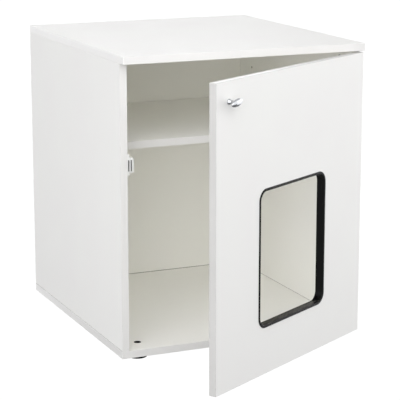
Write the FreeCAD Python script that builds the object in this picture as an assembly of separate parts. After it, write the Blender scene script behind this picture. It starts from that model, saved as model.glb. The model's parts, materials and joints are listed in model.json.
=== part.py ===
import FreeCAD, Part
import math
import os
from collections import namedtuple

# A white cat cabinet of faced chipboard with a cat opening in its door, in millimetres.
# It is drawn from the carcass: X from the left outer face to the right, Y from the carcass
# front to the back, Z up from the ground. The finished pieces are then moved to the part's
# own origin, on the ground under the middle of the object as it stands with its door ajar.

# Carcass boards
board = 16.0
cabinet_width = 550.0
top_depth = 600.0
boards_height = 637.0
front_overhang = 22.0
edge_rounding = 0.6

# Back panel in its grooves
back_thickness = 3.0
back_inset = 10.0
groove_depth = 7.0
groove_play = 0.15
groove_end_gap = 0.5

# Shelf on its pins
shelf_height = 441.0
shelf_setback = 97.0
shelf_side_gap = 0.8
shelf_back_gap = 0.8
pin_radius = 2.5
pin_shank_length = 10.0
pin_head_radius = 4.0
pin_head_length = 9.0
pin_seat_rise = 2.5
pin_hole_play = 0.05
pin_hole_end_gap = 1.0
pin_row_step = 96.0
pin_front_row = 157.0
pin_back_row_inset = 78.0

# Cam locks and dowels between the top and the sides, screws and dowels below
cam_radius = 7.5
cam_depth = 12.5
cam_edge_distance = 24.0
cam_slot_length = 9.0
cam_slot_width = 1.4
cam_slot_depth = 2.5
cam_bolt_room = 0.4
bolt_thread_radius = 2.5
bolt_thread_length = 10.0
bolt_guide_radius = 3.5
bolt_guide_length = 9.0
bolt_neck_radius = 2.0
bolt_head_radius = 3.0
bolt_head_length = 3.0
fixing_front_inset = 60.0
fixing_back_inset = 78.0
dowel_radius = 4.0
dowel_length = 30.0
dowel_in_flat = 12.0
dowel_step = 32.0
dowel_chamfer = 1.0
base_screw_radius = 2.5
base_screw_collar_radius = 3.5
base_screw_head_radius = 5.0
base_screw_head_height = 4.0
base_screw_length = 50.0
base_screw_key_size = 4.0
base_screw_key_depth = 3.0

# Levelling feet, turned from above through a hole in the floor
foot_height = 15.0
foot_radius = 21.5
foot_inset_side = 54.0
foot_inset_end = 51.0
pad_height = 10.0
pad_rim_height = 5.0
pad_bottom_bevel = 2.0
pad_hub_radius = 9.0
stud_radius = 5.0
stud_sink = 4.0
stud_socket_depth = 7.0
stud_key_size = 5.0
stud_key_depth = 5.0
stud_play = 0.08
insert_flange_radius = 13.0
insert_flange_height = 1.5
insert_radius = 8.0
insert_length = 12.0
foot_hole_play = 0.5

# Door
door_side_reveal = 1.5
door_bottom_rise = 1.0
door_top_gap = 4.0
door_gap = 3.0
door_angle = 30.7
cutout_width = 244.0
cutout_height = 282.0
cutout_sill = 100.5
cutout_radius = 22.0

# Black strip that lines the cat opening
strip_play = 0.1
strip_web = 2.0
strip_lip_reach = 3.0
strip_lip_thickness = 1.6
strip_bead = 0.8
strip_joint_gap = 0.4

# Oval knob
knob_edge_inset = 41.0
knob_top_inset = 40.0
knob_head_length = 36.0
knob_head_height = 15.0
knob_turn = 10.0
knob_front_bulge = 5.5
knob_back_bulge = 4.0
knob_stem_length = 16.0
knob_stem_seat = 1.0
knob_stem_radius = 3.6
knob_foot_radius = 6.0
knob_foot_height = 1.8
knob_stem_flare = 5.0
knob_screw_radius = 2.0
knob_screw_reach = 9.0
knob_screw_head_radius = 4.0
knob_screw_head_height = 2.4

# Magnetic catch on the left side and its strike plate on the door
catch_height = 411.0
catch_setback = 0.5
catch_width = 14.0
catch_depth = 16.0
catch_block_height = 30.0
catch_ear_height = 8.0
catch_ear_thickness = 4.0
catch_rounding = 1.2
catch_ear_rounding = 4.0
pole_length = 23.0
pole_thickness = 1.2
pole_inset = 1.4
magnet_width = 4.4
magnet_setback = 1.2
pole_depth = 12.0
catch_air_gap = 0.3
strike_width = 12.0
strike_length = 36.0
strike_thickness = 1.0
small_screw_radius = 1.75
small_screw_head_radius = 3.4
small_screw_head_height = 1.7
small_screw_length = 13.0

# Single-pivot concealed hinges
hinge_end_distance = 95.0
hinge_pin_depth = 8.8
hinge_pin_radius = 1.25
hinge_pin_play = 0.06
hinge_swing_clearance = 0.5
eye_radius = 2.4
neck_width = 8.0
neck_thickness = 2.5
neck_bend_radius = 5.0
lug_gap = 0.3
lug_thickness = 2.5
lug_reach = 3.0
cup_radius = 17.5
cup_wall = 0.8
cup_play = 0.4
cup_bore_play = 0.1
rim_width = 1.5
rim_thickness = 1.0
wing_offset = 6.0
wing_half_width = 6.5
wing_screw_spacing = 48.0
arm_height = 10.0
arm_width = 16.0
arm_wall = 1.5
arm_start = 2.0
arm_shoulder = 6.0
arm_end = 60.0
arm_foot_gap = 0.6
plate_thickness = 2.5
plate_screw_line = 37.0
plate_screw_spacing = 32.0
plate_wing_radius = 9.0
plate_spine_half_width = 9.0
plate_end_inset = 2.0
rail_play = 0.3
rail_front_inset = 12.0
arm_screw_inset = 14.0
arm_screw_radius = 2.5
arm_screw_head_radius = 4.2
arm_screw_head_height = 2.4
arm_screw_reach = 5.0
plate_screw_radius = 2.5
plate_screw_head_radius = 4.5
plate_screw_head_height = 1.6
plate_screw_length = 14.0

# Screw heads: shares of a raised head's radius and height taken by its flat crown and its upright
# side, and the cross recess, whose arms reach a share of the shank's radius
crown_share = 0.6
upright_share = 0.4
recess_share = 0.9
recess_width = 0.9
recess_depth = 1.3

V = FreeCAD.Vector
RIGHT = V(1, 0, 0)
BACK = V(0, 1, 0)
UP = V(0, 0, 1)
ORIGIN = V(0, 0, 0)
DIAGONAL = math.sqrt(0.5)

# Levels and planes that follow from the sizes above
carcass_depth = top_depth - front_overhang
floor_low = foot_height
floor_high = floor_low + board
top_high = floor_low + boards_height
top_low = top_high - board
right_inner = cabinet_width - board
back_front = carcass_depth - back_inset - back_thickness
shelf_low = floor_low + shelf_height - board
side_middles = {"left": board / 2, "right": cabinet_width - board / 2}
fixing_rows = (fixing_front_inset, carcass_depth - fixing_back_inset)
dowel_rows = (fixing_rows[0] + dowel_step, fixing_rows[1] - dowel_step)
pin_rows = (pin_front_row, carcass_depth - pin_back_row_inset)
pin_level = shelf_low - pin_seat_rise

# Door planes while it is closed
door_back = -door_gap
door_front = door_back - board
door_hinge_edge = cabinet_width - door_side_reveal
door_free_edge = door_side_reveal
door_low = floor_low + door_bottom_rise
door_high = top_low - door_top_gap
hinge_levels = {"upper": door_high - hinge_end_distance, "lower": door_low + hinge_end_distance}

# The hinge pin lies where the door's back corner just passes the carcass front as it swings,
# and the cup lies where its wall just clears the arm's eye.
hinge_pin_inset = math.sqrt((door_gap + hinge_pin_depth - hinge_swing_clearance) ** 2 - hinge_pin_depth ** 2)
hinge_pin_x = door_hinge_edge - hinge_pin_inset
hinge_pin_y = door_back - hinge_pin_depth
cup_room = cup_radius - cup_wall
cup_depth = hinge_pin_depth + eye_radius + cup_play + cup_wall
cup_x = hinge_pin_x + eye_radius + cup_play - math.sqrt(cup_room ** 2 - (neck_width / 2) ** 2)
catch_middle = floor_low + catch_height
pole_front = door_back + strike_thickness + catch_air_gap
strike_x = board + pole_inset + pole_thickness + magnet_width / 2


def box(x, y, z):
    """A block between the low and high values of each axis."""
    return Part.makeBox(x[1] - x[0], y[1] - y[0], z[1] - z[0], V(x[0], y[0], z[0]))


def rod(radius, start, direction, length):
    """A round bar or a drill from start along direction."""
    return Part.makeCylinder(radius, length, start, direction)


def turned(outline, start, direction):
    """A lathe-turned piece; outline holds (radius, distance along the axis) corners."""
    corners = [V(radius, 0, distance) for radius, distance in outline]
    piece = Part.Face(Part.makePolygon(corners + corners[:1])).revolve(ORIGIN, UP, 360)
    piece.Placement = FreeCAD.Placement(start, FreeCAD.Rotation(UP, direction))
    return piece


def prism(corners, thickness):
    """A flat plate with the given corners, raised by the vector thickness."""
    return Part.Face(Part.makePolygon(corners + corners[:1])).extrude(thickness)


def only_solid(shape):
    """The one solid of a finished piece."""
    (piece,) = shape.removeSplitter().Solids
    return piece


def faced_board(x, y, z):
    """A board with lightly rounded edges."""
    blank = box(x, y, z)
    return blank.makeFillet(edge_rounding, blank.Edges)


# A screw driven along direction. A raised head stands on the surface at start, and length is then
# counted under it; any other head lies flush at start.
Screw = namedtuple("Screw", "start direction radius head_radius head_height length raised")


def screw_blank(screw):
    """A screw without its recess, which is also the hole that it fills."""
    outline = [(0, 0), (screw.head_radius, 0), (screw.radius, screw.head_height)]
    if screw.raised:
        outline = [
            (0, -screw.head_height),
            (screw.head_radius * crown_share, -screw.head_height),
            (screw.head_radius, -screw.head_height * upright_share),
            (screw.head_radius, 0),
            (screw.radius, 0),
        ]
    return turned(outline + [(screw.radius, screw.length), (0, screw.length)], screw.start, screw.direction)


def screw_piece(screw):
    """A finished screw with a cross recess in its head."""
    crown = screw.start - screw.direction * (screw.head_height if screw.raised else 0)
    reach = screw.radius * recess_share
    half = recess_width / 2
    arms = [
        box((-reach, reach), (-half, half), (0, recess_depth)),
        box((-half, half), (-reach, reach), (0, recess_depth)),
    ]
    for arm in arms:
        arm.Placement = FreeCAD.Placement(crown, FreeCAD.Rotation(UP, screw.direction))
    return only_solid(screw_blank(screw).cut(arms))


def inward(side):
    """Direction from a side panel into the cabinet."""
    return RIGHT if side == "left" else -RIGHT


def inner_face(side):
    """X of a side panel's inner face."""
    return board if side == "left" else right_inner


def back_panel():
    """The thin back, held in grooves all round."""
    reach = groove_depth - groove_end_gap
    return box(
        (board - reach, right_inner + reach),
        (back_front, back_front + back_thickness),
        (floor_high - reach, top_low + reach),
    )


def back_groove():
    """What the saw takes from the four boards round the back panel."""
    return box(
        (board - groove_depth, right_inner + groove_depth),
        (back_front - groove_play, back_front + back_thickness + groove_play),
        (floor_high - groove_depth, top_low + groove_depth),
    )


def shelf():
    """The loose shelf, set back from the door."""
    return faced_board(
        (board + shelf_side_gap, right_inner - shelf_side_gap),
        (shelf_setback, back_front - shelf_back_gap),
        (shelf_low, shelf_low + board),
    )


def shelf_pin(side, row):
    """A steel pin: its shank fills a hole in the side, and the shelf lies on its flat."""
    face = V(inner_face(side), row, pin_level)
    shank = rod(pin_radius, face - inward(side) * pin_shank_length, inward(side), pin_shank_length)
    head = rod(pin_head_radius, face, inward(side), pin_head_length)
    room = 2 * (pin_head_length + pin_head_radius)
    above = Part.makeBox(room, room, room, face + V(-room / 2, -room / 2, pin_seat_rise))
    return only_solid(shank.fuse(head.cut(above)))


def pin_holes(side):
    """The shelf's holes in one side, with a second set higher up."""
    depth = pin_shank_length + pin_hole_end_gap
    holes = []
    for row in pin_rows:
        for level in (pin_level, pin_level + pin_row_step):
            mouth = V(inner_face(side), row, level)
            holes.append(rod(pin_radius + pin_hole_play, mouth, -inward(side), depth))
    return holes


def cam_bolt(side, row):
    """The bolt that hangs from the top panel into a cam."""
    reach = cam_edge_distance + bolt_head_length / 2
    neck_start = bolt_thread_length + bolt_guide_length
    head_start = bolt_thread_length + reach - bolt_head_length
    outline = [
        (0, 0),
        (bolt_thread_radius, 0),
        (bolt_thread_radius, bolt_thread_length),
        (bolt_guide_radius, bolt_thread_length),
        (bolt_guide_radius, neck_start),
        (bolt_neck_radius, neck_start),
        (bolt_neck_radius, head_start),
        (bolt_head_radius, head_start),
        (bolt_head_radius, head_start + bolt_head_length),
        (0, head_start + bolt_head_length),
    ]
    return turned(outline, V(side_middles[side], row, top_low + bolt_thread_length), -UP)


def cam_bolt_hole(side, row):
    """The hole in a side panel's top edge that lets the bolt down to the cam."""
    start = V(side_middles[side], row, top_low)
    return rod(bolt_guide_radius, start, -UP, cam_edge_distance + bolt_head_length)


def cam_blank(side, row):
    """The round pocket of a cam, sunk from the inner face."""
    mouth = V(inner_face(side), row, top_low - cam_edge_distance)
    return rod(cam_radius, mouth, -inward(side), cam_depth)


def cam_lock(side, row):
    """A cam with a cross slot for the screwdriver and room for the bolt's head."""
    centre = V(inner_face(side), row, top_low - cam_edge_distance)
    room = rod(bolt_guide_radius + cam_bolt_room, V(side_middles[side], row, top_low), -UP,
               cam_edge_distance + bolt_head_length)
    cuts = [room]
    for length_y, length_z in ((cam_slot_length, cam_slot_width), (cam_slot_width, cam_slot_length)):
        corner = centre + V(-cam_slot_depth, -length_y / 2, -length_z / 2)
        cuts.append(Part.makeBox(2 * cam_slot_depth, length_y, length_z, corner))
    return only_solid(cam_blank(side, row).cut(cuts))


def dowel(side, row, joint_level, flat_above):
    """A beech dowel across a joint; the shorter end sits in the flat of the top or bottom panel."""
    above = dowel_in_flat if flat_above else dowel_length - dowel_in_flat
    tip = dowel_radius - dowel_chamfer
    outline = [
        (0, 0),
        (tip, 0),
        (dowel_radius, dowel_chamfer),
        (dowel_radius, dowel_length - dowel_chamfer),
        (tip, dowel_length),
        (0, dowel_length),
    ]
    return turned(outline, V(side_middles[side], row, joint_level + above), -UP)


def hexagon_recess(mouth, direction, size, depth):
    """A recess for a hexagon key of the given size across its flats."""
    sixth = FreeCAD.Rotation(UP, 60)
    corners = [RIGHT * (size / math.sqrt(3))]
    while len(corners) < 6:
        corners.append(sixth.multVec(corners[-1]))
    recess = prism(corners, UP * depth)
    recess.Placement = FreeCAD.Placement(mouth, FreeCAD.Rotation(UP, direction))
    return recess


def base_screw(side, row):
    """A stepped screw up through the bottom panel into a side's lower edge."""
    outline = [
        (0, 0),
        (base_screw_head_radius, 0),
        (base_screw_collar_radius, base_screw_head_height),
        (base_screw_collar_radius, board),
        (base_screw_radius, board),
        (base_screw_radius, base_screw_length),
        (0, base_screw_length),
    ]
    return turned(outline, V(side_middles[side], row, floor_low), UP)


def keyed_base_screw(side, row):
    """A finished base screw, with its hexagon recess below."""
    mouth = V(side_middles[side], row, floor_low)
    recess = hexagon_recess(mouth, UP, base_screw_key_size, base_screw_key_depth)
    return only_solid(base_screw(side, row).cut(recess))


def foot_centres():
    """Each foot's name and its place in plan."""
    columns = {"left": foot_inset_side, "right": cabinet_width - foot_inset_side}
    rows = {"front": foot_inset_end, "back": carcass_depth - foot_inset_end}
    return {f"{row}_{column}": (columns[column], rows[row]) for row in rows for column in columns}


def foot_pad(x, y):
    """A moulded foot with a bevelled lower rim and a low cone up to the stud."""
    outline = [
        (0, 0),
        (foot_radius - pad_bottom_bevel, 0),
        (foot_radius, pad_bottom_bevel),
        (foot_radius, pad_rim_height),
        (pad_hub_radius, pad_height),
        (0, pad_height),
    ]
    socket = rod(stud_radius, V(x, y, pad_height - stud_socket_depth), UP, stud_socket_depth)
    return only_solid(turned(outline, V(x, y, 0), UP).cut(socket))


def foot_stud(x, y):
    """The foot's screw, with a hexagon socket that shows through the hole in the floor."""
    low = pad_height - stud_socket_depth
    high = floor_high - stud_sink
    stud = rod(stud_radius, V(x, y, low), UP, high - low)
    return only_solid(stud.cut(hexagon_recess(V(x, y, high), -UP, stud_key_size, stud_key_depth)))


def foot_insert(x, y):
    """The threaded sleeve that a foot's screw runs in."""
    bore = stud_radius + stud_play
    outline = [
        (bore, -insert_flange_height),
        (insert_flange_radius, -insert_flange_height),
        (insert_flange_radius, 0),
        (insert_radius, 0),
        (insert_radius, insert_length),
        (bore, insert_length),
    ]
    return turned(outline, V(x, y, floor_low), UP)


def foot_holes():
    """The stepped holes in the bottom panel: the sleeve below, the key's hole above."""
    holes = []
    for x, y in foot_centres().values():
        holes.append(rod(insert_radius, V(x, y, floor_low), UP, insert_length))
        holes.append(rod(stud_radius + foot_hole_play, V(x, y, floor_low), UP, board))
    return holes


def catch_pockets():
    """The room in the catch for its two pole plates and, behind a thin wall, for the magnet between them."""
    low = board + pole_inset
    middle = low + pole_thickness
    far = middle + magnet_width
    z = (catch_middle - pole_length / 2, catch_middle + pole_length / 2)
    front = catch_setback
    back = catch_setback + pole_depth
    return [
        box((low, middle), (front, back), z),
        box((middle, far), (front + magnet_setback, back), z),
        box((far, far + pole_thickness), (front, back), z),
    ]


def catch_screw(end):
    """A screw through one ear of the catch; end is 1 above and -1 below."""
    level = catch_middle + end * (catch_block_height + catch_ear_height) / 2
    start = V(board + catch_ear_thickness, catch_setback + catch_depth / 2, level)
    return Screw(start, -RIGHT, small_screw_radius, small_screw_head_radius,
                 small_screw_head_height, small_screw_length, False)


def catch_housing():
    """The moulded body of the catch with rounded edges and an ear above and below."""
    y = (catch_setback, catch_setback + catch_depth)
    half = catch_block_height / 2
    block = box((board, board + catch_width), y, (catch_middle - half, catch_middle + half))
    inner_edges = [edge for edge in block.Edges if edge.BoundBox.XMin > board + catch_width / 2]
    block = block.makeFillet(catch_rounding, inner_edges)
    reach = half + catch_ear_height
    ears = box((board, board + catch_ear_thickness), y, (catch_middle - reach, catch_middle + reach))
    corners = [edge for edge in ears.Edges if abs(edge.tangentAt(edge.FirstParameter).x) > DIAGONAL]
    ears = ears.makeFillet(catch_ear_rounding, corners)
    holes = [screw_blank(catch_screw(end)) for end in (-1, 1)]
    return only_solid(block.fuse(ears).cut(catch_pockets() + holes))


def pole_plates():
    """The two steel plates whose edges meet the strike plate."""
    low = board + pole_inset
    z = (catch_middle - pole_length / 2, catch_middle + pole_length / 2)
    y = (pole_front, catch_setback + pole_depth)
    far = low + pole_thickness + magnet_width
    return [box((low, low + pole_thickness), y, z), box((far, far + pole_thickness), y, z)]


def catch_magnet():
    """The block magnet between the pole plates."""
    low = board + pole_inset + pole_thickness
    z = (catch_middle - pole_length / 2, catch_middle + pole_length / 2)
    return box((low, low + magnet_width), (catch_setback + magnet_setback, catch_setback + pole_depth), z)


def cut_out():
    """What the saw takes from the door for the cat opening."""
    half = cutout_width / 2
    low = door_low + cutout_sill
    blank = box(
        (cabinet_width / 2 - half, cabinet_width / 2 + half),
        (door_front - board, door_back + board),
        (low, low + cutout_height),
    )
    corners = [edge for edge in blank.Edges if abs(edge.tangentAt(edge.FirstParameter).y) > DIAGONAL]
    return blank.makeFillet(cutout_radius, corners)


def strike_screw():
    """The screw in the middle of the strike plate."""
    start = V(strike_x, door_back + strike_thickness, catch_middle)
    return Screw(start, -BACK, small_screw_radius, small_screw_head_radius,
                 strike_thickness, small_screw_length, False)


def strike_plate():
    """The steel plate on the door that the magnet holds."""
    x = (strike_x - strike_width / 2, strike_x + strike_width / 2)
    z = (catch_middle - strike_length / 2, catch_middle + strike_length / 2)
    return only_solid(box(x, (door_back, door_back + strike_thickness), z).cut(screw_blank(strike_screw())))


def knob_centre():
    """The middle of the knob's foot on the door's front."""
    return V(door_free_edge + knob_edge_inset, door_front, door_high - knob_top_inset)


def knob_screw():
    """The screw that pulls the knob on from behind the door."""
    start = knob_centre() + BACK * board
    return Screw(start, -BACK, knob_screw_radius, knob_screw_head_radius,
                 knob_screw_head_height, board + knob_screw_reach, True)


def knob_dome(rim, direction, bulge):
    """One half of the oval head: a hemisphere drawn out to the oval's size, turned a little on its stem."""
    half = Part.makeSphere(1, ORIGIN, direction, 0, 90, 360)
    stretch = FreeCAD.Matrix()
    stretch.scale(knob_head_length / 2, bulge, knob_head_height / 2)
    stretch.move(rim)
    return half.transformGeometry(stretch).rotated(rim, -BACK, knob_turn)


def knob():
    """An oval head on a waisted stem."""
    centre = knob_centre()
    foot = [
        (0, 0),
        (knob_foot_radius, 0),
        (knob_foot_radius, knob_foot_height),
        (knob_stem_radius, knob_foot_height + knob_stem_flare),
        (knob_stem_radius, knob_stem_length),
        (0, knob_stem_length),
    ]
    rim = centre - BACK * (knob_stem_length + knob_back_bulge - knob_stem_seat)
    halves = [knob_dome(rim, -BACK, knob_front_bulge), knob_dome(rim, BACK, knob_back_bulge)]
    return only_solid(turned(foot, centre, -BACK).fuse(halves).cut(screw_blank(knob_screw())))


def strip_section(x, z):
    """The lining strip's U section at the hinge side of the opening, with a bead along each inner corner."""
    web_outer = -strip_play
    web_inner = web_outer - strip_web
    nose = web_inner - strip_bead
    lip = strip_lip_thickness

    def at(reach, depth):
        return V(x + reach, door_back - depth, z)

    def line(a, b):
        return Part.LineSegment(at(*a), at(*b)).toShape()

    def arc(a, b, c):
        return Part.Arc(at(*a), at(*b), at(*c)).toShape()

    edges = [line((web_outer, 0), (web_outer, board))]
    for face, out in ((board, 1), (0, -1)):
        half = [
            ((web_outer, face), (strip_lip_reach, face)),
            ((strip_lip_reach, face), (strip_lip_reach - lip * (1 - DIAGONAL), face + out * lip * DIAGONAL),
             (strip_lip_reach - lip, face + out * lip)),
            ((strip_lip_reach - lip, face + out * lip), (nose + lip, face + out * lip)),
            ((nose + lip, face + out * lip), (nose + lip * (1 - DIAGONAL), face + out * lip * DIAGONAL),
             (nose, face)),
            ((nose, face), (nose + strip_bead * (1 - DIAGONAL), face - out * strip_bead * DIAGONAL),
             (web_inner, face - out * strip_bead)),
        ]
        for stretch in half:
            edges.append(line(*stretch) if len(stretch) == 2 else arc(*stretch))
    edges.append(line((web_inner, strip_bead), (web_inner, board - strip_bead)))
    return Part.Wire(Part.__sortEdges__(edges))


def opening_strip():
    """The strip swept once round the opening from its butt joint at the hinge side."""
    half = cutout_width / 2
    centre_x = cabinet_width / 2
    low = door_low + cutout_sill
    high = low + cutout_height
    middle = (low + high) / 2
    right = centre_x + half
    left = centre_x - half
    r = cutout_radius
    bend = r * (1 - DIAGONAL)

    def at(x, z):
        return V(x, door_back, z)

    route = [
        Part.LineSegment(at(right, middle + strip_joint_gap / 2), at(right, high - r)),
        Part.Arc(at(right, high - r), at(right - bend, high - bend), at(right - r, high)),
        Part.LineSegment(at(right - r, high), at(left + r, high)),
        Part.Arc(at(left + r, high), at(left + bend, high - bend), at(left, high - r)),
        Part.LineSegment(at(left, high - r), at(left, low + r)),
        Part.Arc(at(left, low + r), at(left + bend, low + bend), at(left + r, low)),
        Part.LineSegment(at(left + r, low), at(right - r, low)),
        Part.Arc(at(right - r, low), at(right - bend, low + bend), at(right, low + r)),
        Part.LineSegment(at(right, low + r), at(right, middle - strip_joint_gap / 2)),
    ]
    path = Part.Wire([stretch.toShape() for stretch in route])
    section = strip_section(right, middle + strip_joint_gap / 2)
    return only_solid(path.makePipeShell([section], True, True))


def cup_screws(level):
    """The two screws of a hinge cup."""
    screws = []
    for end in (-1, 1):
        start = V(cup_x - wing_offset, door_back + rim_thickness, level + end * wing_screw_spacing / 2)
        screws.append(Screw(start, -BACK, small_screw_radius, small_screw_head_radius,
                            rim_thickness, small_screw_length, False))
    return screws


def hinge_pin(level):
    """The pin that the door turns on, held by the two lugs in the cup."""
    half = neck_width / 2 + lug_gap + lug_thickness
    return rod(hinge_pin_radius, V(hinge_pin_x, hinge_pin_y, level - half), UP, 2 * half)


def hinge_cup(level):
    """A pressed cup with its rim, two screw wings and the lugs that carry the pin."""
    mouth = V(cup_x, door_back, level)
    shell = rod(cup_radius, mouth, -BACK, cup_depth)
    rim = rod(cup_radius + rim_width, mouth, BACK, rim_thickness)
    wing_x = cup_x - wing_offset
    half = wing_screw_spacing / 2
    wing = box((wing_x - wing_half_width, wing_x + wing_half_width), (door_back, door_back + rim_thickness),
               (level - half, level + half))
    tips = [rod(wing_half_width, V(wing_x, door_back, level + end * half), BACK, rim_thickness)
            for end in (-1, 1)]
    room = rod(cup_room, mouth + BACK * rim_thickness, -BACK, rim_thickness + cup_depth - cup_wall)
    holes = [screw_blank(screw) for screw in cup_screws(level)]
    cup = shell.fuse([rim, wing] + tips).cut([room] + holes)
    floor_y = door_back - cup_depth + cup_wall / 2
    lugs = []
    for end in (-1, 1):
        near = level + end * (neck_width / 2 + lug_gap)
        far = near + end * lug_thickness
        lug = box((hinge_pin_x - lug_reach, cup_x + cup_radius), (floor_y, hinge_pin_y + lug_reach),
                  (min(near, far), max(near, far)))
        lugs.append(lug.common(rod(cup_radius - cup_wall / 2, mouth, -BACK, cup_depth)))
    return only_solid(cup.fuse(lugs).cut(hinge_pin(level)))


def hinge_cup_bore(level):
    """The round pocket in the door for a cup."""
    return rod(cup_radius + cup_bore_play, V(cup_x, door_back, level), -BACK, cup_depth + cup_bore_play)


def hinge_neck(level):
    """The goose neck from the eye on the pin, round a bend, to the arm along the side panel."""
    arm_x = right_inner - arm_height
    half = neck_thickness / 2
    turn_x = arm_x + neck_bend_radius
    turn_y = hinge_pin_y + neck_bend_radius
    low = level - neck_width / 2
    stop = arm_start + arm_shoulder

    def at(x, y):
        return V(x, y, low)

    def bend(radius):
        slant = radius * DIAGONAL
        return Part.Arc(at(turn_x, turn_y - radius), at(turn_x - slant, turn_y - slant),
                        at(turn_x - radius, turn_y)).toShape()

    def line(a, b):
        return Part.LineSegment(at(*a), at(*b)).toShape()

    outline = [
        line((hinge_pin_x, hinge_pin_y - half), (turn_x, hinge_pin_y - half)),
        bend(neck_bend_radius + half),
        line((arm_x - half, turn_y), (arm_x - half, stop)),
        line((arm_x - half, stop), (arm_x + half, stop)),
        line((arm_x + half, stop), (arm_x + half, turn_y)),
        bend(neck_bend_radius - half),
        line((turn_x, hinge_pin_y + half), (hinge_pin_x, hinge_pin_y + half)),
        line((hinge_pin_x, hinge_pin_y + half), (hinge_pin_x, hinge_pin_y - half)),
    ]
    neck = Part.Face(Part.Wire(Part.__sortEdges__(outline))).extrude(UP * neck_width)
    pin_low = at(hinge_pin_x, hinge_pin_y)
    eye = rod(eye_radius, pin_low, UP, neck_width)
    return neck.fuse(eye).cut(rod(hinge_pin_radius + hinge_pin_play, pin_low, UP, neck_width))


def arm_screw(level):
    """The screw that clamps the arm to its rail."""
    start = V(right_inner - arm_height - neck_thickness / 2, arm_end - arm_screw_inset, level)
    return Screw(start, RIGHT, arm_screw_radius, arm_screw_head_radius,
                 arm_screw_head_height, neck_thickness + arm_screw_reach, True)


def hinge_arm(level):
    """A channel over the mounting plate's rail, ending in the goose neck."""
    outer = right_inner - arm_height - neck_thickness / 2
    shoulder = arm_start + arm_shoulder
    narrow = neck_width / 2
    wide = arm_width / 2
    web = prism([
        V(outer, arm_start, level - narrow),
        V(outer, shoulder, level - wide),
        V(outer, arm_end, level - wide),
        V(outer, arm_end, level + wide),
        V(outer, shoulder, level + wide),
        V(outer, arm_start, level + narrow),
    ], RIGHT * neck_thickness)
    foot = right_inner - plate_thickness - arm_foot_gap
    walls = []
    for low in (level - wide, level + wide - arm_wall):
        walls.append(prism([
            V(outer, shoulder, low),
            V(foot, rail_front_inset, low),
            V(foot, arm_end, low),
            V(outer, arm_end, low),
        ], UP * arm_wall))
    return only_solid(hinge_neck(level).fuse([web] + walls).cut(screw_blank(arm_screw(level))))


def plate_screws(level):
    """The two screws that hold a mounting plate to the side panel."""
    screws = []
    for end in (-1, 1):
        start = V(right_inner - plate_thickness, plate_screw_line, level + end * plate_screw_spacing / 2)
        screws.append(Screw(start, RIGHT, plate_screw_radius, plate_screw_head_radius,
                            plate_screw_head_height, plate_screw_length, False))
    return screws


def hinge_plate(level):
    """A winged mounting plate with the rail that the arm clamps on."""
    face = right_inner - plate_thickness
    half = plate_screw_spacing / 2
    line = plate_screw_line
    spine = box((face, right_inner), (rail_front_inset - plate_end_inset, arm_end),
                (level - plate_spine_half_width, level + plate_spine_half_width))
    wing = box((face, right_inner), (line - plate_wing_radius, line + plate_wing_radius),
               (level - half, level + half))
    tips = [rod(plate_wing_radius, V(face, line, level + end * half), RIGHT, plate_thickness)
            for end in (-1, 1)]
    rail_half = arm_width / 2 - arm_wall - rail_play
    rail_face = right_inner - arm_height + neck_thickness / 2
    rail = box((rail_face, face), (rail_front_inset, arm_end - plate_end_inset),
               (level - rail_half, level + rail_half))
    holes = [screw_blank(screw) for screw in plate_screws(level) + [arm_screw(level)]]
    return only_solid(spine.fuse([wing, rail] + tips).cut(holes))


def side_fixings(side):
    """Everything that is drilled into a side panel's edges for the top and bottom joints."""
    cuts = []
    for row in fixing_rows:
        cuts.append(cam_bolt_hole(side, row))
        cuts.append(cam_blank(side, row))
        cuts.append(base_screw(side, row))
    for row in dowel_rows:
        cuts.append(dowel(side, row, top_low, True))
        cuts.append(dowel(side, row, floor_high, False))
    return cuts


def side_panel(side):
    """A side panel between the top and the bottom, with its groove, holes and pockets."""
    x = (0, board) if side == "left" else (right_inner, cabinet_width)
    blank = faced_board(x, (0, carcass_depth), (floor_high, top_low))
    screws = [catch_screw(1), catch_screw(-1)]
    if side == "right":
        screws = [screw for level in hinge_levels.values() for screw in plate_screws(level)]
    holes = [screw_blank(screw) for screw in screws]
    return only_solid(blank.cut([back_groove()] + side_fixings(side) + pin_holes(side) + holes))


def both_sides(maker, rows):
    """One piece for each side panel and row."""
    return [maker(side, row) for side in side_middles for row in rows]


def top_panel():
    """The top, which overhangs the door."""
    blank = faced_board((0, cabinet_width), (-front_overhang, carcass_depth), (top_low, top_high))
    cuts = [back_groove()] + both_sides(cam_bolt, fixing_rows)
    cuts += both_sides(lambda side, row: dowel(side, row, top_low, True), dowel_rows)
    return only_solid(blank.cut(cuts))


def bottom_panel():
    """The floor, under the side panels."""
    blank = faced_board((0, cabinet_width), (0, carcass_depth), (floor_low, floor_high))
    cuts = [back_groove()] + foot_holes() + both_sides(base_screw, fixing_rows)
    cuts += both_sides(lambda side, row: dowel(side, row, floor_high, False), dowel_rows)
    return only_solid(blank.cut(cuts))


def door_panel():
    """The door board with the cat opening and the hinge pockets."""
    blank = faced_board((door_free_edge, door_hinge_edge), (door_front, door_back), (door_low, door_high))
    cuts = [cut_out()]
    screws = [strike_screw(), knob_screw()]
    for level in hinge_levels.values():
        cuts.append(hinge_cup_bore(level))
        screws += cup_screws(level)
    return only_solid(blank.cut(cuts + [screw_blank(screw) for screw in screws]))


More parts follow.
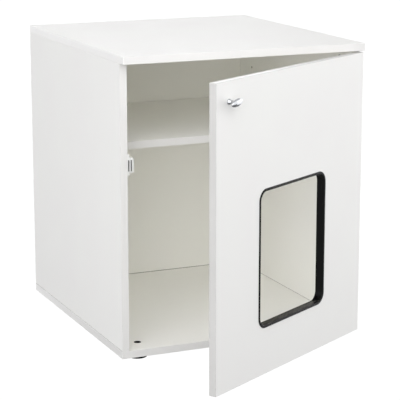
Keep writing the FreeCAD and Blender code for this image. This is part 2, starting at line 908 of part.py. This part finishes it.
def carcass_pieces():
    """The pieces that stand still."""
    pieces = {
        "top_panel": [top_panel()],
        "bottom_panel": [bottom_panel()],
        "left_side_panel": [side_panel("left")],
        "right_side_panel": [side_panel("right")],
        "back_panel": [back_panel()],
        "shelf": [shelf()],
        "shelf_pins": both_sides(shelf_pin, pin_rows),
        "cam_locks": both_sides(cam_lock, fixing_rows),
        "cam_bolts": both_sides(cam_bolt, fixing_rows),
        "top_dowels": both_sides(lambda side, row: dowel(side, row, top_low, True), dowel_rows),
        "bottom_dowels": both_sides(lambda side, row: dowel(side, row, floor_high, False), dowel_rows),
        "base_screws": both_sides(keyed_base_screw, fixing_rows),
        "foot_inserts": [foot_insert(x, y) for x, y in foot_centres().values()],
        "catch_housing": [catch_housing()],
        "catch_magnet": [catch_magnet()],
        "catch_pole_plates": pole_plates(),
        "catch_screws": [screw_piece(catch_screw(end)) for end in (-1, 1)],
    }
    for name, level in hinge_levels.items():
        pieces[f"{name}_hinge_plate"] = [hinge_plate(level)]
        pieces[f"{name}_hinge_arm"] = [hinge_arm(level)]
        pieces[f"{name}_hinge_plate_screws"] = [screw_piece(screw) for screw in plate_screws(level)]
        pieces[f"{name}_hinge_arm_screw"] = [screw_piece(arm_screw(level))]
    return pieces


def foot_pieces():
    """The feet, which move up and down."""
    pieces = {}
    for name, (x, y) in foot_centres().items():
        pieces[f"{name}_foot_pad"] = [foot_pad(x, y)]
        pieces[f"{name}_foot_stud"] = [foot_stud(x, y)]
    return pieces


def door_pieces():
    """The pieces that swing with the door, drawn closed."""
    pieces = {
        "door_panel": [door_panel()],
        "opening_strip": [opening_strip()],
        "knob": [knob()],
        "knob_screw": [screw_piece(knob_screw())],
        "strike_plate": [strike_plate()],
        "strike_screw": [screw_piece(strike_screw())],
    }
    for name, level in hinge_levels.items():
        pieces[f"{name}_hinge_cup"] = [hinge_cup(level)]
        pieces[f"{name}_hinge_pin"] = [hinge_pin(level)]
        pieces[f"{name}_hinge_cup_screws"] = [screw_piece(screw) for screw in cup_screws(level)]
    return pieces


def main():
    """Sets the door ajar, moves everything to the part's origin and writes each piece."""
    os.makedirs("parts", exist_ok=True)
    hinge_axis = V(hinge_pin_x, hinge_pin_y, 0)
    pieces = {}
    for name, solids in {**carcass_pieces(), **foot_pieces()}.items():
        pieces[name] = Part.makeCompound(solids)
    for name, solids in door_pieces().items():
        pieces[name] = Part.makeCompound(solids).rotated(hinge_axis, UP, door_angle)
    whole = Part.makeCompound(list(pieces.values())).optimalBoundingBox(False)
    shift = V(-whole.Center.x, -whole.Center.y, 0)
    for name, piece in pieces.items():
        piece.translated(shift).exportStep(f"parts/{name}.step")
    print("origin", shift, "hinge axis", hinge_axis + shift)
    print("whole", whole)


main()
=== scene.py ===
import bmesh
import bpy
import json
import math
import numpy as np
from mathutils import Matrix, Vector


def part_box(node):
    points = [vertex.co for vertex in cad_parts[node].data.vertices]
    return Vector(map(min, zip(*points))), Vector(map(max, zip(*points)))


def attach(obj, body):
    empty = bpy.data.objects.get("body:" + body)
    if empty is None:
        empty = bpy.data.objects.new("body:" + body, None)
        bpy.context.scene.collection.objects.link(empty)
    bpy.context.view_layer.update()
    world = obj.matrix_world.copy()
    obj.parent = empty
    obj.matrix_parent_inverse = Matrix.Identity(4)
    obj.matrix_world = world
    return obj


# The looks of a white cat cabinet: finishes for every piece, a pale floor, soft light and a camera.
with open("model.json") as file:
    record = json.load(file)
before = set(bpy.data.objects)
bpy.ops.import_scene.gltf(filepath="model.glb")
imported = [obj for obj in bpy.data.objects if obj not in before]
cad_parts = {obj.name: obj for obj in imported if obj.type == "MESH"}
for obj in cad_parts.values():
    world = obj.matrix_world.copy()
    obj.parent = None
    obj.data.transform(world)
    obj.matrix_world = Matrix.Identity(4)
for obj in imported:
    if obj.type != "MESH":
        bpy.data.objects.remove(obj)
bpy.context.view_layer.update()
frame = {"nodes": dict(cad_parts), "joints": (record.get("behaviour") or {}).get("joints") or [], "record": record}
nodes = frame["nodes"]

MM = 0.001
RIGHT = Vector((1, 0, 0))
BACK = Vector((0, 1, 0))
UP = Vector((0, 0, 1))

# The door stands ajar at rest, so its own directions come from its swing.
swing = next(joint for joint in frame["joints"] if joint["name"] == "door_swing")
ajar = math.radians(-swing["range_deg"][0])
DOOR_ALONG = Vector((math.cos(ajar), math.sin(ajar), 0))
DOOR_OUT = Vector((math.sin(ajar), -math.cos(ajar), 0))

# The level at which the sides and the back meet the floor inside
FLOOR_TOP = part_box("bottom_panel")[1].z

# Camera: where it stands, how far it turns to the right and dips, and its lens on a 36 mm sensor
CAMERA_PLACE = (-1.424, -3.150, 1.085)
CAMERA_TURN = math.radians(23.76)
CAMERA_DIP = math.radians(12.76)
CAMERA_LENS_MM = 145.5
SENSOR_MM = 36.0

# Studio, in metres: a white floor and surround for the eye, and soft lights all round at one distance
# from the object. Polish mirrors the white surround above and its dim part below, with a blend between
# two slopes.
LIGHT_COLOUR = "#FBFBFD"
SHEET_COLOUR = "#FFFFFF"
SHEET_GLOW = 1.05
SURROUND_GLOW_BELOW = 0.3
SURROUND_DIM_SLOPE = -0.15
SURROUND_BRIGHT_SLOPE = -0.05
FLOOR_SIDE = 60.0
LIGHT_AIM = Vector((0.0, 0.0, 0.35))
LIGHT_DISTANCE = 3.6
LIGHT_SIDE = 4.0
LIGHT_BOUNCES = 16
DISPLAY_GAMMA = 1.1

# Black bushes in the holes of the floor through which the feet are turned
KEY_HOLE_RADIUS = 5.5 * MM
BUSH_PLAY = 0.01 * MM
BUSH_WALL = 0.25 * MM
BUSH_DEPTH = 3.8 * MM
BUSH_RIM_WIDTH = 2.4 * MM
BUSH_RIM_HEIGHT = 0.3 * MM
BUSH_RIM_BEVEL = 0.12 * MM
BUSH_STEPS = 48
SHARP_ANGLE = math.radians(40)

# Painted shade where boards meet the floor, a grey line: its colour and how far it reaches from the joint
JOINT_SHADE_COLOUR = "#8C8A82"
JOINT_SHADE_HEIGHT = 1.4 * MM

# Board faces: the rounding of a board's edges, how far off a plane still counts as on it, and the
# cosine of the tilt at which a face still counts as flat
EDGE_ROUNDING = 0.6 * MM
ON_PLANE = 0.05 * MM
FLAT_COSINE = 0.99

# Patterns: the range that holds most values of a noise, a wave's bands in a metre at scale 1, and how
# many times longer than wide wood grain is
NOISE_LOW, NOISE_HIGH = 0.3, 0.7
WAVE_BANDS = 20 / math.tau
GRAIN_STRETCH = 12.5


def linear(colour):
    """A hex colour as the linear values that a shader takes."""
    values = [int(colour[i:i + 2], 16) / 255 for i in (1, 3, 5)]
    return [v / 12.92 if v <= 0.04045 else ((v + 0.055) / 1.055) ** 2.4 for v in values] + [1.0]


def add(tree, kind, inputs=None, into=None, **settings):
    """One shader node with its settings and links. Inputs are values or other nodes' outputs, by
    socket name or number, and into is the socket that its first output feeds."""
    node = tree.nodes.new("ShaderNode" + kind)
    for name, value in settings.items():
        setattr(node, name, value)
    for name, value in (inputs or {}).items():
        if isinstance(value, bpy.types.NodeSocket):
            tree.links.new(value, node.inputs[name])
        else:
            node.inputs[name].default_value = value
    if into is not None:
        tree.links.new(node.outputs[0], into)
    return node


def new_finish(name, colour, roughness, metallic=0.0):
    """A material, its node tree, its shader and the part's own coordinates in metres."""
    material = bpy.data.materials.new(name)
    material.use_nodes = True
    tree = material.node_tree
    shader = tree.nodes["Principled BSDF"]
    shader.inputs["Base Color"].default_value = linear(colour)
    shader.inputs["Roughness"].default_value = roughness
    shader.inputs["Metallic"].default_value = metallic
    place = add(tree, "TexCoord").outputs["Object"]
    return material, tree, shader, place


def vary(tree, target, place, size, low, high, detail=2.0):
    """Lets a shader's colour or number drift between two values in patches of a given size."""
    noise = add(tree, "TexNoise", {"Vector": place, "Scale": 1 / size, "Detail": detail}).outputs["Fac"]
    if isinstance(low, str):
        ends = add(tree, "ValToRGB", {"Fac": noise}, into=target).color_ramp.elements
        ends[0].position, ends[1].position = NOISE_LOW, NOISE_HIGH
        ends[0].color, ends[1].color = linear(low), linear(high)
    else:
        add(tree, "MapRange", {"Value": noise, "From Min": NOISE_LOW, "From Max": NOISE_HIGH,
                               "To Min": low, "To Max": high}, into=target)


def paint_joint_shade(tree, shader, place):
    """Paints shade into a board's colour as a fine grey line where it meets the floor."""
    colour = shader.inputs["Base Color"]
    unshaded = colour.links[0].from_socket
    height = add(tree, "SeparateXYZ", {"Vector": place}).outputs["Z"]
    # Painted shade: a thin band just above the floor's top, where shade falls in the joint
    line = add(tree, "Math", {0: height, 1: FLOOR_TOP, 2: JOINT_SHADE_HEIGHT}, operation="COMPARE")
    add(tree, "MixRGB", {"Fac": line.outputs["Value"], "Color1": unshaded, "Color2": linear(JOINT_SHADE_COLOUR)},
        into=colour)


def melamine_facing(name, shaded_joint):
    """White melamine pressed on chipboard: satin, very finely pearled, almost without drift in tone.
    On the boards that stand on the floor, shade is painted as a grey line along that joint."""
    material, tree, shader, place = new_finish(name, "#F8F7F3", 0.54)
    shader.inputs["Specular IOR Level"].default_value = 0.3
    vary(tree, shader.inputs["Base Color"], place, 140 * MM, "#F7F6F3", "#F8F8F4")
    # Painted shade as a grey line along the floor joint
    if shaded_joint:
        paint_joint_shade(tree, shader, place)
    vary(tree, shader.inputs["Roughness"], place, 60 * MM, 0.5, 0.58)
    # Real pearls are about 1 mm across, drawn 3 mm wide so that they still break up a reflection.
    pearls = add(tree, "TexNoise", {"Vector": place, "Scale": 1 / (3 * MM), "Detail": 1.0})
    add(tree, "Bump", {"Height": pearls.outputs["Fac"], "Distance": 0.02 * MM}, into=shader.inputs["Normal"])
    return material


def edge_band(name, darkest, palest):
    """White ABS edge band, extruded and scraped: smoother and a shade greyer than the facing."""
    material, tree, shader, place = new_finish(name, palest, 0.34)
    vary(tree, shader.inputs["Base Color"], place, 90 * MM, darkest, palest)
    vary(tree, shader.inputs["Roughness"], place, 25 * MM, 0.30, 0.38)
    return material


def chipboard_core_with_painted_shade():
    """Raw chipboard where it is drilled or grooved: brown flakes, rough and dry, painted darker than raw chipboard
    as shade inside the holes and grooves.
    """
    material, tree, shader, place = new_finish("chipboard_core_with_painted_shade", "#523F27", 0.9)
    flakes = add(tree, "TexVoronoi", {"Vector": place, "Scale": 1 / (1.6 * MM)})
    tones = add(tree, "ValToRGB", {"Fac": flakes.outputs["Color"]}, into=shader.inputs["Base Color"])
    # Painted shade: these browns are darker than raw chipboard's, for the shade in the holes
    tones.color_ramp.elements[0].color = linear("#3A2B19")
    tones.color_ramp.elements[1].color = linear("#6B5535")
    add(tree, "Bump", {"Height": flakes.outputs["Distance"], "Distance": 0.2 * MM},
        into=shader.inputs["Normal"])
    return material


def lacquered_hardboard():
    """The back's inner face, white lacquer rolled on hardboard: satin, with faint fibres under it and shade
    painted as a grey line along the floor."""
    material, tree, shader, place = new_finish("white_lacquered_hardboard", "#F5F4EF", 0.45)
    vary(tree, shader.inputs["Base Color"], place, 110 * MM, "#F4F3EF", "#F5F5F0")
    # Painted shade as a grey line where the back meets the floor
    paint_joint_shade(tree, shader, place)
    fibres = add(tree, "TexNoise", {"Vector": place, "Scale": 1 / (4 * MM), "Detail": 3.0})
    add(tree, "Bump", {"Height": fibres.outputs["Fac"], "Distance": 0.03 * MM}, into=shader.inputs["Normal"])
    return material


def raw_hardboard():
    """The back's outer face, bare hardboard: warm brown fibres with the press screen's weave."""
    material, tree, shader, place = new_finish("raw_hardboard", "#9C7B54", 0.8)
    vary(tree, shader.inputs["Base Color"], place, 9 * MM, "#8C6B46", "#A98860", detail=6.0)
    # The screen's weave is about 1 mm, drawn 3 mm wide so that it shows.
    scale = 1 / (3 * MM * WAVE_BANDS)
    across, upright = [
        add(tree, "TexWave", {"Vector": place, "Scale": scale}, bands_direction=axis).outputs["Fac"]
        for axis in ("X", "Z")
    ]
    weave = add(tree, "Math", {0: across, 1: upright})
    add(tree, "Bump", {"Height": weave.outputs["Value"], "Distance": 0.12 * MM}, into=shader.inputs["Normal"])
    return material


def soft_pvc():
    """Black soft PVC, extruded into the lining strip: deep black and glossy, with faint die lines along
    its run."""
    material, tree, shader, place = new_finish("black_soft_pvc", "#030303", 0.18)
    shader.inputs["Specular IOR Level"].default_value = 0.07
    vary(tree, shader.inputs["Roughness"], place, 20 * MM, 0.12, 0.2)
    # The die lines run round the opening, so they only change through the door's thickness.
    depth = add(tree, "VectorMath", {0: place, 1: DOOR_OUT}, operation="DOT_PRODUCT").outputs["Value"]
    lines = add(tree, "TexNoise", {"W": depth, "Scale": 1 / (1.5 * MM)}, noise_dimensions="1D")
    add(tree, "Bump", {"Height": lines.outputs["Fac"], "Distance": 0.04 * MM}, into=shader.inputs["Normal"])
    return material


def polished_chrome():
    """Chrome plate over polished zinc: a clear mirror, hazed a little by wiping."""
    material, tree, shader, place = new_finish("polished_chrome", "#A8AAAD", 0.12, metallic=1.0)
    vary(tree, shader.inputs["Roughness"], place, 5 * MM, 0.1, 0.16)
    return material


def nickel_plate():
    """Nickel plate on pressed steel: warm silver, half bright, with a faint press grain."""
    material, tree, shader, place = new_finish("nickel_plated_steel", "#CBC7BE", 0.28, metallic=1.0)
    vary(tree, shader.inputs["Roughness"], place, 6 * MM, 0.22, 0.36)
    grain = add(tree, "TexNoise", {"Vector": place, "Scale": 1 / (0.8 * MM), "Detail": 3.0})
    add(tree, "Bump", {"Height": grain.outputs["Fac"], "Distance": 0.006 * MM}, into=shader.inputs["Normal"])
    return material


def bright_zinc():
    """Bright zinc plate on turned steel: cold silver, slightly clouded."""
    material, tree, shader, place = new_finish("bright_zinc_plate", "#C3C8CE", 0.32, metallic=1.0)
    vary(tree, shader.inputs["Base Color"], place, 3 * MM, "#BCC1C8", "#CCD0D4")
    vary(tree, shader.inputs["Roughness"], place, 3 * MM, 0.26, 0.4)
    return material


def cast_zinc():
    """Die-cast zinc as it leaves the die: pale dull grey with a fine sandy skin."""
    material, tree, shader, place = new_finish("die_cast_zinc", "#CBCDD0", 0.5, metallic=1.0)
    vary(tree, shader.inputs["Base Color"], place, 4 * MM, "#C3C6C9", "#D2D4D7")
    skin = add(tree, "TexNoise", {"Vector": place, "Scale": 1 / (0.5 * MM), "Detail": 2.0})
    add(tree, "Bump", {"Height": skin.outputs["Fac"], "Distance": 0.03 * MM}, into=shader.inputs["Normal"])
    return material


def blackened_steel():
    """Blackened steel: near black with a dull metallic sheen."""
    material, tree, shader, place = new_finish("blackened_steel", "#242527", 0.42, metallic=1.0)
    vary(tree, shader.inputs["Base Color"], place, 4 * MM, "#1D1E20", "#2C2D2F")
    vary(tree, shader.inputs["Roughness"], place, 2 * MM, 0.36, 0.5)
    return material


def ferrite():
    """Sintered ferrite magnet: dark grey, dull, with pin-size pores."""
    material, tree, shader, place = new_finish("sintered_ferrite", "#2C2D2F", 0.72)
    vary(tree, shader.inputs["Base Color"], place, 2 * MM, "#27282A", "#333436")
    pores = add(tree, "TexVoronoi", {"Vector": place, "Scale": 1 / (0.6 * MM)})
    add(tree, "Bump", {"Height": pores.outputs["Distance"], "Distance": 0.05 * MM},
        into=shader.inputs["Normal"])
    return material


def moulded_white_plastic():
    """White ABS, moulded: clean and half glossy, with a fine spark-eroded grain."""
    material, tree, shader, place = new_finish("moulded_white_abs", "#F3F3F0", 0.3)
    vary(tree, shader.inputs["Roughness"], place, 4 * MM, 0.26, 0.36)
    grain = add(tree, "TexNoise", {"Vector": place, "Scale": 1 / (0.5 * MM), "Detail": 2.0})
    add(tree, "Bump", {"Height": grain.outputs["Fac"], "Distance": 0.012 * MM}, into=shader.inputs["Normal"])
    return material


def moulded_black_plastic():
    """Black polypropylene, moulded: matt, with a leathery fine grain."""
    material, tree, shader, place = new_finish("moulded_black_polypropylene", "#020202", 0.55)
    shader.inputs["Specular IOR Level"].default_value = 0.015
    vary(tree, shader.inputs["Roughness"], place, 5 * MM, 0.48, 0.62)
    grain = add(tree, "TexNoise", {"Vector": place, "Scale": 1 / (0.8 * MM), "Detail": 2.0})
    add(tree, "Bump", {"Height": grain.outputs["Fac"], "Distance": 0.04 * MM}, into=shader.inputs["Normal"])
    return material


def black_rubber():
    """Soft black rubber of the key bushes: dead matt, slightly greyed in patches by wear."""
    material, tree, shader, place = new_finish("black_rubber", "#030303", 0.95)
    shader.inputs["Specular IOR Level"].default_value = 0.0
    vary(tree, shader.inputs["Base Color"], place, 3 * MM, "#020202", "#050505")
    return material


def beech():
    """Raw turned beech: pale pinkish brown with upright grain and pressed flutes."""
    material, tree, shader, place = new_finish("raw_beech", "#C49A6C", 0.7)
    stretched = add(tree, "Mapping", {"Vector": place, "Scale": (1, 1, 1 / GRAIN_STRETCH)}).outputs["Vector"]
    vary(tree, shader.inputs["Base Color"], stretched, 1.5 * MM, "#B58657", "#D0AA7E", detail=4.0)
    flutes = add(tree, "TexNoise", {"Vector": stretched, "Scale": 1 / (0.9 * MM)})
    add(tree, "Bump", {"Height": flutes.outputs["Fac"], "Distance": 0.1 * MM}, into=shader.inputs["Normal"])
    return material


def studio_floor():
    """The floor's own finish: a pale sheet lit from below, so that it stays as plain as the surround."""
    material, _, shader, _ = new_finish("backlit_sheet", "#000000", 0.9)
    shader.inputs["Specular IOR Level"].default_value = 0.0
    shader.inputs["Emission Color"].default_value = linear(SHEET_COLOUR)
    shader.inputs["Emission Strength"].default_value = SHEET_GLOW
    return material


def dress(piece, material):
    """One finish all over a piece."""
    piece.data.materials.clear()
    piece.data.materials.append(material)


def face_values(mesh, name):
    """The centres or normals of a mesh's faces, one row each."""
    values = np.zeros(len(mesh.polygons) * 3, np.float32)
    mesh.polygons.foreach_get(name, values)
    return values.reshape(-1, 3)


def dress_board(node, flat, along, finishes):
    """A board's flat faces get the first finish, or the first and second if it has two, its rim the
    next one, and whatever is cut into it the last. flat points through its thickness to its first
    face, and along runs with one of its edges."""
    *faces, band, core = finishes
    mesh = node.data
    mesh.materials.clear()
    for finish in finishes:
        mesh.materials.append(finish)
    axes = np.array([flat, along, flat.cross(along)])
    corners = np.array([axes @ np.array(vertex.co) for vertex in mesh.vertices])
    low, high = corners.min(0), corners.max(0)
    centres = face_values(mesh, "center") @ axes.T
    normals = face_values(mesh, "normal") @ axes.T
    near_low = centres - low
    near_high = high - centres
    rim = (np.minimum(near_low, near_high)[:, 1:] < EDGE_ROUNDING + ON_PLANE).any(1)
    square = np.abs(normals[:, 0]) > FLAT_COSINE
    choice = np.full(len(centres), finishes.index(core))
    choice[rim] = finishes.index(band)
    choice[square & (near_high[:, 0] < ON_PLANE) & ~rim] = 0
    choice[square & (near_low[:, 0] < ON_PLANE) & ~rim] = len(faces) - 1
    mesh.polygons.foreach_set("material_index", choice.astype(np.int32))
    mesh.update()


def dress_boards():
    """Every board of the carcass, the shelf, the back and the door."""
    facing = melamine_facing("melamine_facing", shaded_joint=False)
    # The sides' facing has shade painted as a grey line along their joint with the floor.
    joint_shaded_facing = melamine_facing("melamine_facing_with_painted_joint_shade", shaded_joint=True)
    band = edge_band("abs_edge_band", "#EBEAE7", "#EDECE9")
    # The door's own band is painted greyer than the carcass's: painted shade on the door's edge.
    door_band_with_painted_shade = edge_band("abs_door_edge_band_with_painted_shade", "#CAC9C6", "#CFCECB")
    core = chipboard_core_with_painted_shade()
    raw = raw_hardboard()
    for name in ("top_panel", "bottom_panel", "shelf"):
        dress_board(nodes[name], UP, RIGHT, [facing, band, core])
    for name in ("left_side_panel", "right_side_panel"):
        dress_board(nodes[name], RIGHT, BACK, [joint_shaded_facing, band, core])
    dress_board(nodes["door_panel"], DOOR_OUT, DOOR_ALONG, [facing, door_band_with_painted_shade, core])
    dress_board(nodes["back_panel"], -BACK, RIGHT, [lacquered_hardboard(), raw, raw, raw])


def dress_fittings():
    """Every other piece, by the finish that the record names for it."""
    finishes = {
        "black_strip": soft_pvc(),
        "chrome": polished_chrome(),
        "nickel_steel": nickel_plate(),
        "bright_zinc": bright_zinc(),
        "zinc": cast_zinc(),
        "black_steel": blackened_steel(),
        "ferrite": ferrite(),
        "white_plastic": moulded_white_plastic(),
        "black_plastic": moulded_black_plastic(),
        "beech": beech(),
    }
    for subpart in frame["record"]["subparts"]:
        if subpart["material_slot"] in finishes:
            dress(nodes[subpart["node"]], finishes[subpart["material_slot"]])


def turned_ring(name, centre, outline):
    """A ring turned round an upright line from a closed outline of radii and heights."""
    shape = bmesh.new()
    points = [shape.verts.new(centre + RIGHT * radius + UP * height) for radius, height in outline]
    lines = [shape.edges.new(pair) for pair in zip(points, points[1:] + points[:1])]
    bmesh.ops.spin(shape, geom=points + lines, cent=centre, axis=UP, angle=math.tau, steps=BUSH_STEPS,
                   use_merge=True)
    bmesh.ops.recalc_face_normals(shape, faces=shape.faces)
    mesh = bpy.data.meshes.new(name)
    shape.to_mesh(mesh)
    shape.free()
    mesh.shade_smooth()
    mesh.set_sharp_from_angle(angle=SHARP_ANGLE)
    ring = bpy.data.objects.new(name, mesh)
    bpy.context.scene.collection.objects.link(ring)
    return ring


def fit_key_bushes():
    """A thin black bush with a bevelled rim lines each hole in the floor above a foot's stud."""
    rubber = black_rubber()
    outer = KEY_HOLE_RADIUS - BUSH_PLAY
    inner = KEY_HOLE_RADIUS - BUSH_WALL
    rim = KEY_HOLE_RADIUS + BUSH_RIM_WIDTH
    outline = [
        (inner, -BUSH_DEPTH),
        (outer, -BUSH_DEPTH),
        (outer, 0),
        (rim, 0),
        (rim, BUSH_RIM_HEIGHT - BUSH_RIM_BEVEL),
        (rim - BUSH_RIM_BEVEL, BUSH_RIM_HEIGHT),
        (inner, BUSH_RIM_HEIGHT),
    ]
    for corner in ("front_left", "front_right", "back_left", "back_right"):
        low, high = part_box(f"{corner}_foot_stud")
        centre = (low + high) / 2
        centre.z = FLOOR_TOP
        bush = turned_ring(f"{corner}_key_bush", centre, outline)
        dress(bush, rubber)
        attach(bush, "carcass")


def lay_floor():
    """A wide pale floor, which shows but neither lights nor shades the object. It lies as low as the
    feet reach when they are screwed right out, so that it hides none of their travel."""
    reach = max(joint["range_m"][1] for joint in frame["joints"] if joint["type"] == "slide")
    bpy.ops.mesh.primitive_plane_add(size=FLOOR_SIDE, location=-UP * reach)
    floor = bpy.context.object
    floor.name = "studio_floor"
    floor.visible_diffuse = False
    floor.visible_glossy = False
    floor.visible_shadow = False
    dress(floor, studio_floor())


def hang_softbox(name, azimuth, elevation, watts):
    """One square soft light that faces the object, at an azimuth of 0 in front and 90 to the right."""
    around, above = math.radians(azimuth), math.radians(elevation)
    level = math.cos(above)
    outward = Vector((math.sin(around) * level, -math.cos(around) * level, math.sin(above)))
    lamp = bpy.data.lights.new(name, "AREA")
    lamp.energy = watts
    lamp.color = linear(LIGHT_COLOUR)[:3]
    lamp.size = LIGHT_SIDE
    softbox = bpy.data.objects.new(name, lamp)
    softbox.visible_camera = False
    softbox.location = LIGHT_AIM + outward * LIGHT_DISTANCE
    softbox.rotation_euler = outward.to_track_quat("Z", "Y").to_euler()
    bpy.context.scene.collection.objects.link(softbox)


def light_studio():
    """The surround, which shows and is mirrored, the soft lights, which alone light the boards, and
    the tone of the print. Light has many bounces, because a white box is lit from wall to wall."""
    scene = bpy.context.scene
    scene.cycles.max_bounces = LIGHT_BOUNCES
    scene.cycles.diffuse_bounces = LIGHT_BOUNCES
    scene.view_settings.view_transform = "Standard"
    scene.view_settings.gamma = DISPLAY_GAMMA
    scene.world = bpy.data.worlds.new("surround")
    scene.world.cycles_visibility.diffuse = False
    scene.world.use_nodes = True
    tree = scene.world.node_tree
    surround = tree.nodes["Background"]
    surround.inputs["Color"].default_value = linear(SHEET_COLOUR)
    direction = add(tree, "TexCoord").outputs["Generated"]
    slope = add(tree, "SeparateXYZ", {"Vector": direction}).outputs["Z"]
    add(tree, "MapRange", {"Value": slope, "From Min": SURROUND_DIM_SLOPE, "From Max": SURROUND_BRIGHT_SLOPE,
                           "To Min": SURROUND_GLOW_BELOW, "To Max": SHEET_GLOW},
        into=surround.inputs["Strength"])
    hang_softbox("front_light", azimuth=-24, elevation=22, watts=34)
    hang_softbox("upper_front_light", azimuth=-24, elevation=45, watts=75)
    hang_softbox("front_left_light", azimuth=-50, elevation=8, watts=84)
    hang_softbox("left_light", azimuth=-110, elevation=-8, watts=35)
    hang_softbox("front_right_light", azimuth=40, elevation=25, watts=52)
    hang_softbox("right_light", azimuth=95, elevation=8, watts=95)
    hang_softbox("back_light", azimuth=180, elevation=8, watts=80)


def set_camera():
    """The photograph's viewing angle, with no shift and everything sharp."""
    lens = bpy.data.cameras.new("camera")
    lens.sensor_width = SENSOR_MM
    lens.lens = CAMERA_LENS_MM
    camera = bpy.data.objects.new("camera", lens)
    camera.location = CAMERA_PLACE
    camera.rotation_euler = (math.pi / 2 - CAMERA_DIP, 0, -CAMERA_TURN)
    bpy.context.scene.collection.objects.link(camera)
    bpy.context.scene.camera = camera


dress_boards()
dress_fittings()
fit_key_bushes()
lay_floor()
light_studio()
set_camera()
